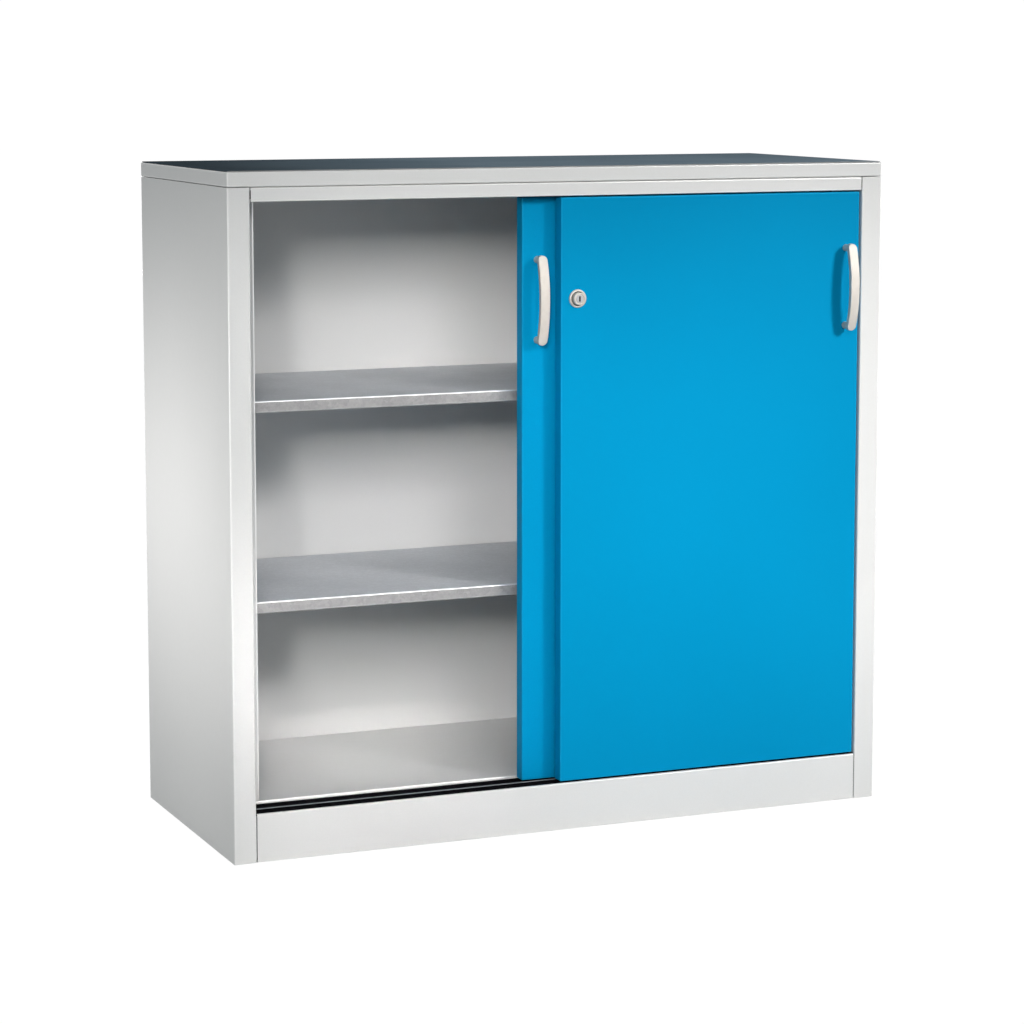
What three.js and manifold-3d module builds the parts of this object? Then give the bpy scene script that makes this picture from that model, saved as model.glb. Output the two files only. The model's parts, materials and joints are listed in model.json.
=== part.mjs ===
// A steel cupboard with two sliding doors, two shelves and a push lock.
// Millimetres, +Z up. The doors face -Y. The origin is on the floor, under the middle of the whole object.
// The shown pose has the rear (left) door slid open to the right, behind the closed front (right) door.

import * as THREE from "three";
import { mergeVertices } from "three/addons/utils/BufferGeometryUtils.js";
import Module from "manifold-3d";

// Overall size, without the handles
const cabinetWidth = 1200;
const cabinetDepth = 500;
const cabinetHeight = 1140;

// Sheet steel, and the gaps between pieces
const sheet = 1; // thickness of every folded panel
const foldRadius = 1.5; // inside radius of a fold
const foldSteps = 3; // flats in one fold
const seatGap = 0.3; // between two pieces that rest on, or are fixed to, each other
const seam = 0.8; // open joint under the top cover
const cutPast = 2; // how far a cutter runs past what it cuts

// Top cover and the covering sheet laid on it
const coverHeight = 26;
const coverReturn = 12;
const inlayThickness = 1.5;
const inlayInset = 2;

// Side panels: a front post, folded back to an inner flange, and a narrow return at the back
const postWidth = 38.5;
const flangeWidth = 28.5;
const hemWidth = 8;
const backReturn = 15;
const footReturn = 15; // inward flange at the foot and the head of a panel

// Front rails and floor
const railHeight = 23.2;
const railJoint = 1.6; // open joint between a rail and a post
const railTopReturn = 20;
const plinthHeight = 82;
const floorHeight = 86;
const floorBackFlange = 20;
const ceilingBackFlange = 12;

// Door tracks: two running lines, one behind the other
const trackPitch = 32;
const trackAxis = 21.2; // front running line, behind the front plane
const trackWall = 1.6;
const trackBase = 1.5;
const trackRise = 1; // how far the front wall stands above the plinth's top
const trackStep = 1; // each wall further back stands this much lower
const beadWidth = 3;
const beadHeight = 2.5;
const trackDepth = 3; // groove floor below the plinth's top
const trackBackGap = 1.7; // to the floor's front ledge and the side panels' inner flanges
const upperGroove = 8;
const upperFin = 1.2;
const upperFinReach = 17;
const upperBase = 1.5;

// Doors: folded pans, both the same size
const doorSetback = 2.5; // face behind the front plane
const doorThickness = 24;
const doorSideGap = 3.5; // closed door to post
const doorTopGap = 2.6; // door to upper rail
const doorBottomGap = 2.8; // door to plinth top
const doorOverlap = 27; // one door over the other, both closed
const doorLip = 14;
const rearDoorShown = 57.9; // strip of the rear door that shows left of the front door when it is open
const stiffenerWidth = 60;
const stiffenerFoot = 16;
const stiffenerDepth = 18;

// Rollers in the foot of each door, and guides on its head
const rollerRadius = 13;
const rollerGroove = 2; // depth of the running groove
const rollerWidth = 6;
const rollerSegments = 24;
const grooveClearance = 0.3; // groove side to bead side
const rollerInset = 70; // roller axis from the door's edge
const axleRadius = 2;
const runningGap = 0.1; // round a pin that turns
const cheekThickness = 1.5;
const cheekGap = 0.4;
const bracketLength = 40;
const bracketRoof = 4;
const rollerRoom = 1; // round the roller in its bracket
const guideLength = 36;
const guideFootWidth = 18;
const guideFootHeight = 2;
const guideSideGap = 0.4;
const guideHeadGap = 3; // under the upper track's base

// Bow handles
const handleLength = 152;
const handleWidth = 16;
const barThickness = 8;
const handleReach = 38; // door face to the outside of the bow
const handleEndReach = 24; // the same at the bar's ends
const bowPower = 2.2; // how late the bow turns back: 2 is an even curve
const legRadius = 6.5;
const legBelowBar = 2; // how far a leg stands into the bar
const handleInset = 27; // handle's middle from the door's edge
const frontHandleBelowTop = 218; // a handle's middle below the cabinet's top
const rearHandleBelowTop = 226;
const bowSteps = 14;
const roundSteps = 20;

// Handle screws
const screwRadius = 2;
const screwHole = 2.3;
const screwHeadRadius = 4;
const screwHeadHeight = 2.4;
const screwGrip = 12; // length of screw inside the leg
const screwTipRoom = 1;

// Lock
const lockInset = 30; // lock's middle from the front door's left edge
const lockBelowTop = 223.5; // the same below the cabinet's top
const rosetteRadius = 15.6;
const rosetteThickness = 4;
const rosetteBevel = 1.2;
const rosetteRecess = 0.8;
const rosetteRecessRadius = 12;
const barrelRadius = 12.8;
const barrelLength = 18;
const barrelFloor = 2;
const lockCylinderRadius = 10.5;
const lockCylinderReach = 11; // end of the cylinder in front of the door's face
const lockCylinderLength = 21;
const lockCylinderBevel = 0.8;
const pinRadius = 4;
const pinGap = 0.3;
const plugRadius = 6.5;
const plugLength = 14;
const plugRecess = 0.2;
const keywayWidth = 3.2;
const keywayHeight = 9;
const keywayDepth = 9;
const lockNutAcross = 32;
const lockNutThickness = 4;
const lockSteps = 32;

// Shelves, uprights and clips
const shelfCount = 2;
const shelfLip = 20;
const shelfReturn = 10;
const shelfFrontGap = 2.5; // behind the post's hem
const shelfBackGap = 3;
const shelfSideGap = 1.5;
const uprightSheet = 1.2;
const uprightWidth = 24;
const uprightDepth = 10;
const uprightEndGap = 8; // to the floor and to the ceiling
const frontUprightGap = 16; // post's hem to the front upright
const backUprightGap = 36; // back upright to the back panel
const slotPitch = 24;
const slotWidth = 4;
const slotHeight = 14;
const slotBelowLedge = 9; // slot's middle below the ledge of its clip
const slotEndMargin = 12;
const clipWidth = 12;
const clipLedge = 14;
const clipThickness = 1.5;
const clipDrop = 16;
const clipHookReach = 3;

// Rubber buffers and the rear door's open stop
const bufferRadius = 6;
const bufferFromEnd = 120; // buffers from the door's head and foot
const stopLength = 12;
const stopHeight = 20;
const stopWidth = 14;

// Places worked out from the sizes above
const halfWidth = cabinetWidth / 2;
const handleOverhang = handleReach - doorSetback;
const coverFoot = cabinetHeight - coverHeight;
const coverTop = cabinetHeight - inlayThickness - seatGap;
const carcassTop = coverFoot - seam;
const railFoot = carcassTop - railHeight;
const openingHalf = halfWidth - postWidth;
const trackHalf = openingHalf - seatGap;
const trackFront = trackAxis - trackPitch / 2 - trackWall / 2;
const trackMiddle = trackAxis + trackPitch / 2;
const trackRear = trackMiddle + trackPitch;
const trackBack = trackRear + trackWall / 2;
const flangeDepth = trackBack + trackBackGap;
const hemBack = flangeDepth + 2 * sheet;
const flangeEdge = openingHalf - flangeWidth;
const foldRoom = sheet + foldRadius + seatGap; // from a folded corner's outside to what lies inside it
const backFace = cabinetDepth - sheet - seatGap;
const backInside = backFace - sheet;
const panelBack = backInside - seatGap;
const panelHalf = halfWidth - sheet - seatGap;
const backHalf = halfWidth - sheet - foldRadius;
const ceilingTop = carcassTop - sheet - seatGap;
const ceilingFoot = ceilingTop - sheet;
const grooveFloor = plinthHeight - trackDepth;
const beadTop = grooveFloor + beadHeight;
const trackSeat = grooveFloor - trackBase - seatGap;
const doorFoot = plinthHeight + doorBottomGap;
const doorHeight = railFoot - doorTopGap - doorFoot;
const doorWidth = (2 * (openingHalf - doorSideGap) + doorOverlap) / 2;
const frontDoorLeft = openingHalf - doorSideGap - doorWidth;
const rearDoorLeft = frontDoorLeft - rearDoorShown;
const rollerPlane = trackAxis - doorSetback; // running line behind the door's face
const rollerHeight = beadTop + seatGap + rollerRadius - rollerGroove - doorFoot;
const inDoor = cabinetHeight - doorFoot; // the cabinet's top above a door's foot
const frontHandleHeight = inDoor - frontHandleBelowTop;
const rearHandleHeight = inDoor - rearHandleBelowTop;
const lockHeight = inDoor - lockBelowTop;
const legOffset = (handleLength - handleWidth) / 2;

// Finishes
const greyPaint = { color: 0xdcdedc, roughness: 0.45, metalness: 0.05 };
const bluePaint = { color: 0x0094d2, roughness: 0.4, metalness: 0.05 };
const galvanised = { color: 0xa6abb0, roughness: 0.42, metalness: 0.8 };
const darkSheet = { color: 0x46525a, roughness: 0.4, metalness: 0 };
const blackTrack = { color: 0x121315, roughness: 0.35, metalness: 0 };
const satinNickel = { color: 0xd6d0c8, roughness: 0.35, metalness: 0.6 };
const brightSteel = { color: 0xc9ccd0, roughness: 0.25, metalness: 0.9 };
const blackPlastic = { color: 0x1b1c1e, roughness: 0.5, metalness: 0 };
const blackRubber = { color: 0x1c1c1e, roughness: 0.8, metalness: 0 };

const wasm = await Module();
wasm.setup();

const mergeDistance = 1e-4;

// A three.js geometry as a solid that can be joined and cut
function solid(geometry) {
  const bare = geometry.index ? geometry.toNonIndexed() : geometry.clone();
  bare.deleteAttribute("normal");
  bare.deleteAttribute("uv");
  const merged = mergeVertices(bare, mergeDistance);
  const mesh = new wasm.Mesh({
    numProp: 3,
    vertProperties: merged.attributes.position.array,
    triVerts: new Uint32Array(merged.index.array),
  });
  return new wasm.Manifold(mesh);
}

// A solid back as a three.js geometry with flat faces
function geometryOf(body) {
  const mesh = body.getMesh();
  const points = [];
  for (const corner of mesh.triVerts) {
    const start = corner * mesh.numProp;
    points.push(...mesh.vertProperties.slice(start, start + 3));
  }
  const geometry = new THREE.BufferGeometry();
  geometry.setAttribute("position", new THREE.Float32BufferAttribute(points, 3));
  geometry.computeVertexNormals();
  return geometry;
}

const joined = (first, ...others) => others.reduce((all, next) => all.add(next), first);
const cut = (first, ...others) => others.reduce((all, next) => all.subtract(next), first);

// A block between two opposite corners, given in any order
function block(x0, x1, y0, y1, z0, z1) {
  const box = new THREE.BoxGeometry(Math.abs(x1 - x0), Math.abs(y1 - y0), Math.abs(z1 - z0));
  return solid(box.translate((x0 + x1) / 2, (y0 + y1) / 2, (z0 + z1) / 2));
}

// A round bar along X, at one y and z
function barAlongX(radius, x0, x1, y, z, steps) {
  const bar = new THREE.CylinderGeometry(radius, radius, x1 - x0, steps);
  return solid(bar.rotateZ(Math.PI / 2).translate((x0 + x1) / 2, y, z));
}

// A round bar along Y, at one x and z
function barAlongY(radius, y0, y1, x, z, steps) {
  const bar = new THREE.CylinderGeometry(radius, radius, y1 - y0, steps);
  return solid(bar.translate(x, (y0 + y1) / 2, z));
}

// A body turned about the Y axis from [radius, y] points that close on the axis or on themselves
function turned(points, steps) {
  const profile = points.map(([radius, y]) => new THREE.Vector2(radius, y));
  return solid(new THREE.LatheGeometry(profile, steps));
}

const outlineShape = (points) => new THREE.Shape(points.map(([x, y]) => new THREE.Vector2(x, y)));

// A plan outline of [x, y] points, raised from one height to another
function raised(outline, z0, z1) {
  const body = new THREE.ExtrudeGeometry(outlineShape(outline), { depth: z1 - z0, bevelEnabled: false });
  return solid(body.translate(0, 0, z0));
}

// A side outline of [y, z] points, drawn out along X
function drawnAlongX(outline, x0, x1) {
  const body = new THREE.ExtrudeGeometry(outlineShape(outline), { depth: x1 - x0, bevelEnabled: false });
  const turn = new THREE.Matrix4().makeBasis(
    new THREE.Vector3(0, 1, 0),
    new THREE.Vector3(0, 0, 1),
    new THREE.Vector3(1, 0, 0),
  );
  return solid(body.applyMatrix4(turn).translate(x0, 0, 0));
}

// A front outline of [x, z] points, drawn out along Y
function drawnAlongY(outline, y0, y1) {
  const body = new THREE.ExtrudeGeometry(outlineShape(outline), { depth: y1 - y0, bevelEnabled: false });
  return solid(body.rotateX(Math.PI / 2).translate(0, y1, 0));
}

// Outline of a folded sheet: it follows a line of points, lies to the left of it, and has round folds
function foldedSheet(line, thickness, insideRadius) {
  const near = [];
  const far = [];
  const direction = (from, to) => {
    const length = Math.hypot(to[0] - from[0], to[1] - from[1]);
    return [(to[0] - from[0]) / length, (to[1] - from[1]) / length];
  };
  const endAt = (point, way) => {
    near.push(point);
    far.push([point[0] - way[1] * thickness, point[1] + way[0] * thickness]);
  };
  endAt(line[0], direction(line[0], line[1]));
  for (let i = 1; i < line.length - 1; i++) {
    const into = direction(line[i - 1], line[i]);
    const out = direction(line[i], line[i + 1]);
    const side = Math.sign(into[0] * out[1] - into[1] * out[0]);
    const angle = Math.acos(into[0] * out[0] + into[1] * out[1]);
    const nearRadius = side > 0 ? insideRadius + thickness : insideRadius;
    const farRadius = nearRadius - side * thickness;
    const back = nearRadius * Math.tan(angle / 2);
    const start = [line[i][0] - into[0] * back, line[i][1] - into[1] * back];
    const middle = [start[0] - side * into[1] * nearRadius, start[1] + side * into[0] * nearRadius];
    for (let step = 0; step <= foldSteps; step++) {
      const turn = (side * angle * step) / foldSteps;
      const spokeX = side * into[1] * Math.cos(turn) + side * into[0] * Math.sin(turn);
      const spokeY = side * into[1] * Math.sin(turn) - side * into[0] * Math.cos(turn);
      near.push([middle[0] + spokeX * nearRadius, middle[1] + spokeY * nearRadius]);
      far.push([middle[0] + spokeX * farRadius, middle[1] + spokeY * farRadius]);
    }
  }
  endAt(line[line.length - 1], direction(line[line.length - 2], line[line.length - 1]));
  return [...near, ...far.reverse()];
}

// A shallow tray, open below, whose four sides turn in at the foot
function tray(x0, x1, y0, y1, z0, z1, inward) {
  const shell = block(x0, x1, y0, y1, z0, z1);
  const room = block(x0 + sheet, x1 - sheet, y0 + sheet, y1 - sheet, z0 + sheet, z1 - sheet);
  const edge = sheet + inward;
  const mouth = block(x0 + edge, x1 - edge, y0 + edge, y1 - edge, z0 - cutPast, z0 + 2 * sheet);
  return cut(shell, room, mouth);
}

// A named mesh with its own material, at a place in its group
function piece(group, name, body, finish, x = 0, y = 0, z = 0) {
  const mesh = new THREE.Mesh(geometryOf(body), new THREE.MeshStandardMaterial(finish));
  mesh.name = name;
  mesh.position.set(x, y, z);
  group.add(mesh);
}

const mirrored = (outline) => outline.map(([x, y]) => [-x, y]);

// Side panel, drawn for the left: back return, outer wall, post face, web and inner flange
function sidePanel(side) {
  const line = [
    [-halfWidth + backReturn, cabinetDepth],
    [-halfWidth, cabinetDepth],
    [-halfWidth, 0],
    [-openingHalf, 0],
    [-openingHalf, flangeDepth],
    [-flangeEdge, flangeDepth],
  ];
  const outline = foldedSheet(line, sheet, foldRadius);
  const wall = raised(side < 0 ? outline : mirrored(outline), 0, carcassTop);
  const hem = block(
    side * flangeEdge, side * (flangeEdge + hemWidth),
    flangeDepth + sheet / 2, hemBack,
    0, carcassTop,
  );
  const clearOfFold = foldRadius + sheet;
  const returnFlange = (z0) => block(
    side * (halfWidth - sheet / 2), side * (halfWidth - footReturn),
    clearOfFold, cabinetDepth - clearOfFold,
    z0, z0 + sheet,
  );
  const floorNotch = block(
    side * openingHalf, side * (flangeEdge - cutPast),
    flangeDepth - foldRadius - cutPast, hemBack + cutPast,
    -cutPast, floorHeight + seatGap,
  );
  return cut(joined(wall, hem, returnFlange(0), returnFlange(carcassTop - sheet)), floorNotch);
}

// Back panel: one sheet with narrow flanges at head and foot
function backPanel() {
  const line = [
    [backFace - footReturn, 0],
    [backFace, 0],
    [backFace, carcassTop],
    [backFace - footReturn, carcassTop],
  ];
  const panel = drawnAlongX(foldedSheet(line, sheet, foldRadius), -backHalf, backHalf);
  const notch = (side, z0, z1) => block(
    side * (halfWidth - footReturn - seatGap), side * halfWidth,
    backFace - footReturn - cutPast, backInside,
    z0, z1,
  );
  const depth = sheet + foldRadius;
  return cut(
    panel,
    notch(-1, -cutPast, depth), notch(1, -cutPast, depth),
    notch(-1, carcassTop - depth, carcassTop + cutPast), notch(1, carcassTop - depth, carcassTop + cutPast),
  );
}

// Floor: back flange, floor, step behind the track and the ledge that carries the track
function floorPanel() {
  const line = [
    [panelBack, floorHeight - floorBackFlange],
    [panelBack, floorHeight],
    [flangeDepth, floorHeight],
    [flangeDepth, trackSeat],
    [sheet + seatGap, trackSeat],
  ];
  const panel = drawnAlongX(foldedSheet(line, sheet, foldRadius), -panelHalf, panelHalf);
  const notch = (side) => block(
    side * trackHalf, side * halfWidth,
    -cutPast, flangeDepth + sheet + seatGap,
    trackSeat - sheet - cutPast, floorHeight + cutPast,
  );
  return cut(panel, notch(-1), notch(1));
}

// Ceiling: a sheet with a back flange, narrower in front, between the inner flanges
function ceilingPanel() {
  const line = [
    [panelBack, ceilingTop - ceilingBackFlange],
    [panelBack, ceilingTop],
    [foldRoom, ceilingTop],
  ];
  const panel = drawnAlongX(foldedSheet(line, sheet, foldRadius), -panelHalf, panelHalf);
  const notch = (side) => block(
    side * (flangeEdge - seatGap), side * halfWidth,
    -cutPast, hemBack + seatGap,
    ceilingFoot - cutPast, ceilingTop + cutPast,
  );
  return cut(panel, notch(-1), notch(1));
}

// A front rail between the posts: a face with a fold at head and foot
function frontRail(foot, head, headReturn, footDepth) {
  const line = [
    [headReturn, head],
    [0, head],
    [0, foot],
    [footDepth, foot],
  ];
  return drawnAlongX(foldedSheet(line, sheet, foldRadius), railJoint - openingHalf, openingHalf - railJoint);
}

// Lower track: a base with three walls, and a running bead for each door
function lowerTrack() {
  const strip = (y0, y1, z1) => block(-trackHalf, trackHalf, y0, y1, grooveFloor - trackBase, z1);
  const wall = (middle, z1) => strip(middle - trackWall / 2, middle + trackWall / 2, z1);
  const bead = (axis) => strip(axis - beadWidth / 2, axis + beadWidth / 2, beadTop);
  const firstTop = plinthHeight + trackRise;
  return joined(
    strip(trackFront, trackBack, grooveFloor),
    wall(trackAxis - trackPitch / 2, firstTop),
    wall(trackMiddle, firstTop - trackStep),
    wall(trackRear, firstTop - 2 * trackStep),
    bead(trackAxis),
    bead(trackAxis + trackPitch),
  );
}

// Upper track: a base under the ceiling, with a pair of fins over each door
function upperTrack() {
  const head = ceilingFoot - seatGap;
  const half = flangeEdge - seatGap;
  const base = block(-half, half, trackFront, trackBack, head - upperBase, head);
  const fin = (y0) => block(-half, half, y0, y0 + upperFin, head - upperBase - upperFinReach, head);
  const pair = (axis) => [fin(axis - upperGroove / 2 - upperFin), fin(axis + upperGroove / 2)];
  return joined(base, ...pair(trackAxis), ...pair(trackAxis + trackPitch));
}

// Slotted upright for the shelf clips, drawn for the left
const uprightFoot = floorHeight + uprightEndGap;
const uprightHead = ceilingFoot - uprightEndGap;
const uprightFace = panelHalf - uprightDepth;
const slotsPerBay = Math.round((ceilingFoot - floorHeight) / (shelfCount + 1) / slotPitch);
const shelfTop = (level) => floorHeight + level * slotsPerBay * slotPitch;
const ledgeTop = (level) => shelfTop(level) - shelfLip - seatGap;

function upright(side, y0) {
  const y1 = y0 + uprightWidth;
  const line = [
    [-panelHalf, y0],
    [-uprightFace, y0],
    [-uprightFace, y1],
    [-panelHalf, y1],
  ];
  const outline = foldedSheet(line, uprightSheet, foldRadius);
  const channel = raised(side < 0 ? outline : mirrored(outline), uprightFoot, uprightHead);
  const clipSlot = ledgeTop(1) - slotBelowLedge;
  const lowest = uprightFoot + slotEndMargin + slotHeight / 2;
  const below = Math.floor((clipSlot - lowest) / slotPitch);
  const middle = (y0 + y1) / 2;
  const slots = [];
  for (
    let z = clipSlot - below * slotPitch;
    z <= uprightHead - slotEndMargin - slotHeight / 2;
    z += slotPitch
  ) {
    slots.push(block(
      side * (uprightFace - cutPast), side * (uprightFace + uprightSheet + cutPast),
      middle - slotWidth / 2, middle + slotWidth / 2,
      z - slotHeight / 2, z + slotHeight / 2,
    ));
  }
  return cut(channel, ...slots);
}

// Shelf clip, drawn about the upright's face and the ledge's top: a plate, a ledge and a hook
function shelfClip(side) {
  const inward = (reach) => -side * reach;
  const width = clipWidth / 2;
  const hook = slotWidth / 2 - seatGap;
  const hookHeight = slotHeight / 2 - seatGap;
  return joined(
    block(inward(seatGap), inward(seatGap + clipThickness), -width, width, -clipDrop, 0),
    block(inward(seatGap), inward(clipLedge), -width, width, -clipThickness, 0),
    block(
      inward(seatGap + clipThickness / 2), inward(-uprightSheet - clipHookReach),
      -hook, hook,
      -slotBelowLedge - hookHeight, -slotBelowLedge + hookHeight,
    ),
  );
}

// Door pan: face, side returns and lips in one fold, closed at head and foot
function doorPan(holes) {
  const line = [
    [doorLip, doorThickness],
    [0, doorThickness],
    [0, 0],
    [doorWidth, 0],
    [doorWidth, doorThickness],
    [doorWidth - doorLip, doorThickness],
  ];
  const folded = foldedSheet(line, sheet, foldRadius);
  const half = folded.length / 2;
  const outside = raised(folded.slice(1, half - 1), 0, doorHeight);
  const inside = raised(folded.slice(half + 1, -1), sheet, doorHeight - sheet);
  const mouth = block(
    doorLip, doorWidth - doorLip,
    doorThickness - 2 * sheet, doorThickness + cutPast,
    sheet, doorHeight - sheet,
  );
  const rollerNotch = (x) => block(
    x - rollerRadius - rollerRoom, x + rollerRadius + rollerRoom,
    rollerPlane - rollerWidth / 2 - rollerRoom, doorThickness + cutPast,
    -cutPast, 2 * sheet,
  );
  return cut(
    outside, inside, mouth,
    rollerNotch(rollerInset), rollerNotch(doorWidth - rollerInset), ...holes,
  );
}

// Upright stiffener inside a door: a hat section with two feet against the face
function doorStiffener() {
  const face = sheet + seatGap;
  const left = (doorWidth - stiffenerWidth) / 2;
  const line = [
    [left - stiffenerFoot, face],
    [left, face],
    [left, face + stiffenerDepth],
    [left + stiffenerWidth, face + stiffenerDepth],
    [left + stiffenerWidth, face],
    [left + stiffenerWidth + stiffenerFoot, face],
  ];
  const outline = foldedSheet(line, sheet, foldRadius);
  return raised(outline, sheet + seatGap, doorHeight - sheet - seatGap);
}

// Roller on the axis Y, with a groove that straddles the bead
function roller() {
  const side = rollerWidth / 2;
  const inner = beadWidth / 2 + grooveClearance;
  const outer = (inner + side) / 2;
  const root = rollerRadius - rollerGroove;
  const bore = axleRadius + runningGap;
  return turned([
    [bore, -side],
    [rollerRadius, -side],
    [rollerRadius, -outer],
    [root, -inner],
    [root, inner],
    [rollerRadius, outer],
    [rollerRadius, side],
    [bore, side],
    [bore, -side],
  ], rollerSegments);
}

// Roller bracket, drawn about the roller's axis: a block open below, with the axle's holes
const bracketHalf = rollerWidth / 2 + cheekGap + cheekThickness;
function rollerBracket() {
  const foot = sheet + seatGap - rollerHeight;
  const roof = rollerRadius + rollerRoom;
  const shell = block(
    -bracketLength / 2, bracketLength / 2,
    -bracketHalf, bracketHalf,
    foot, roof + bracketRoof,
  );
  const room = block(
    -roof, roof,
    -rollerWidth / 2 - cheekGap, rollerWidth / 2 + cheekGap,
    foot - cutPast, roof,
  );
  const holeEnd = bracketHalf + cutPast;
  const hole = barAlongY(axleRadius + runningGap, -holeEnd, holeEnd, 0, 0, roundSteps);
  return cut(shell, room, hole);
}

// Guide on a door's head, drawn about the running line: a foot and a tongue for the upper groove
function doorGuide() {
  const tongue = upperGroove / 2 - guideSideGap;
  const head = ceilingFoot - seatGap - upperBase - guideHeadGap - doorFoot - doorHeight;
  const back = doorThickness - rollerPlane;
  return joined(
    block(-guideLength / 2, guideLength / 2, back - guideFootWidth, back, seatGap, seatGap + guideFootHeight),
    block(-guideLength / 2, guideLength / 2, -tongue, tongue, seatGap, head),
  );
}

// Bow handle, drawn about its middle on the door's face: the bar swells outwards and ends round
function bowHandle() {
  const half = handleLength / 2;
  const rise = handleReach - handleEndReach;
  const reachAt = (z) => handleReach - rise * Math.abs(z / half) ** bowPower;
  const stations = [];
  for (let i = 0; i <= bowSteps; i++) stations.push(-half + (handleLength * i) / bowSteps);
  const outer = stations.map((z) => [-reachAt(z), z]);
  const inner = stations.map((z) => [barThickness - reachAt(z), z]);
  const bow = drawnAlongX([...outer, ...inner.reverse()], -handleWidth / 2, handleWidth / 2);
  const front = [];
  for (let i = 0; i <= roundSteps; i++) {
    const angle = (Math.PI * i) / roundSteps;
    front.push([(Math.cos(angle) * handleWidth) / 2, legOffset + (Math.sin(angle) * handleWidth) / 2]);
  }
  const stadium = drawnAlongY([...front, ...front.map(([x, z]) => [-x, -z])], -handleReach - cutPast, 0);
  const legEnd = barThickness - reachAt(legOffset) - legBelowBar;
  const leg = (z) => barAlongY(legRadius, legEnd, -seatGap, 0, z, roundSteps);
  const bore = (z) => barAlongY(screwHole, -screwGrip - screwTipRoom, cutPast, 0, z, roundSteps);
  return cut(
    joined(bow.intersect(stadium), leg(legOffset), leg(-legOffset)),
    bore(legOffset),
    bore(-legOffset),
  );
}

// Handle screw on the axis Y, its head inside the door
function handleScrew() {
  const under = sheet + seatGap;
  return turned([
    [0, -screwGrip],
    [screwRadius, -screwGrip],
    [screwRadius, under],
    [screwHeadRadius, under],
    [screwHeadRadius, under + screwHeadHeight],
    [0, under + screwHeadHeight],
  ], roundSteps);
}

// Lock housing: rosette in front of the face, barrel through it, and a floor with the pin's hole
function lockHousing() {
  const bore = lockCylinderRadius + runningGap;
  const back = barrelLength + barrelFloor;
  return turned([
    [rosetteRadius, -seatGap],
    [barrelRadius, -seatGap],
    [barrelRadius, back],
    [pinRadius + pinGap, back],
    [pinRadius + pinGap, barrelLength],
    [bore, barrelLength],
    [bore, rosetteRecess - rosetteThickness],
    [rosetteRecessRadius, rosetteRecess - rosetteThickness],
    [rosetteRecessRadius, -rosetteThickness],
    [rosetteRadius - rosetteBevel, -rosetteThickness],
    [rosetteRadius, rosetteBevel - rosetteThickness],
    [rosetteRadius, -seatGap],
  ], lockSteps);
}

// Lock cylinder: a push button with a bore for the plug and a locking pin behind
function lockCylinder() {
  const back = lockCylinderLength - lockCylinderReach;
  const boreFloor = plugLength + plugRecess + seatGap - lockCylinderReach;
  return turned([
    [0, doorThickness],
    [pinRadius, doorThickness],
    [pinRadius, back],
    [lockCylinderRadius, back],
    [lockCylinderRadius, lockCylinderBevel - lockCylinderReach],
    [lockCylinderRadius - lockCylinderBevel, -lockCylinderReach],
    [plugRadius + runningGap, -lockCylinderReach],
    [plugRadius + runningGap, boreFloor],
    [0, boreFloor],
  ].reverse(), lockSteps);
}

// Key plug, with a keyway that opens forwards
function lockPlug() {
  const front = plugRecess - lockCylinderReach;
  const body = barAlongY(plugRadius, front, front + plugLength, 0, 0, lockSteps);
  const keyway = block(
    -keywayWidth / 2, keywayWidth / 2,
    front - cutPast, front + keywayDepth,
    -keywayHeight / 2, keywayHeight / 2,
  );
  return cut(body, keyway);
}

// Hexagon nut that holds the housing from inside the door
function lockNut() {
  const face = sheet + seatGap;
  const corner = lockNutAcross / 2 / Math.cos(Math.PI / 6);
  const back = face + lockNutThickness;
  const bore = barAlongY(barrelRadius + seatGap, face - cutPast, back + cutPast, 0, 0, lockSteps);
  return cut(barAlongY(corner, face, back, 0, 0, 6), bore);
}

// The whole object, and the cabinet frame inside it, whose y = 0 is the front plane
const slidingDoorCabinet = new THREE.Group();
const cabinet = new THREE.Group();
cabinet.position.set(0, (handleOverhang - cabinetDepth) / 2, 0);
slidingDoorCabinet.add(cabinet);

piece(cabinet, "left_side_panel", sidePanel(-1), greyPaint);
piece(cabinet, "right_side_panel", sidePanel(1), greyPaint);
piece(cabinet, "back_panel", backPanel(), greyPaint);
piece(cabinet, "floor_panel", floorPanel(), greyPaint);
piece(cabinet, "ceiling_panel", ceilingPanel(), greyPaint);
piece(cabinet, "plinth", frontRail(0, plinthHeight, trackFront - seatGap, footReturn), greyPaint);
piece(
  cabinet, "upper_front_rail",
  frontRail(railFoot, carcassTop, railTopReturn, trackFront - seatGap), greyPaint,
);
piece(
  cabinet, "top_cover",
  tray(-halfWidth, halfWidth, 0, cabinetDepth, coverFoot, coverTop, coverReturn), greyPaint,
);
piece(
  cabinet, "top_covering_sheet",
  block(
    inlayInset - halfWidth, halfWidth - inlayInset,
    inlayInset, cabinetDepth - inlayInset,
    cabinetHeight - inlayThickness, cabinetHeight,
  ),
  darkSheet,
);
piece(cabinet, "lower_track", lowerTrack(), blackTrack);
piece(cabinet, "upper_track", upperTrack(), blackTrack);

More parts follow.
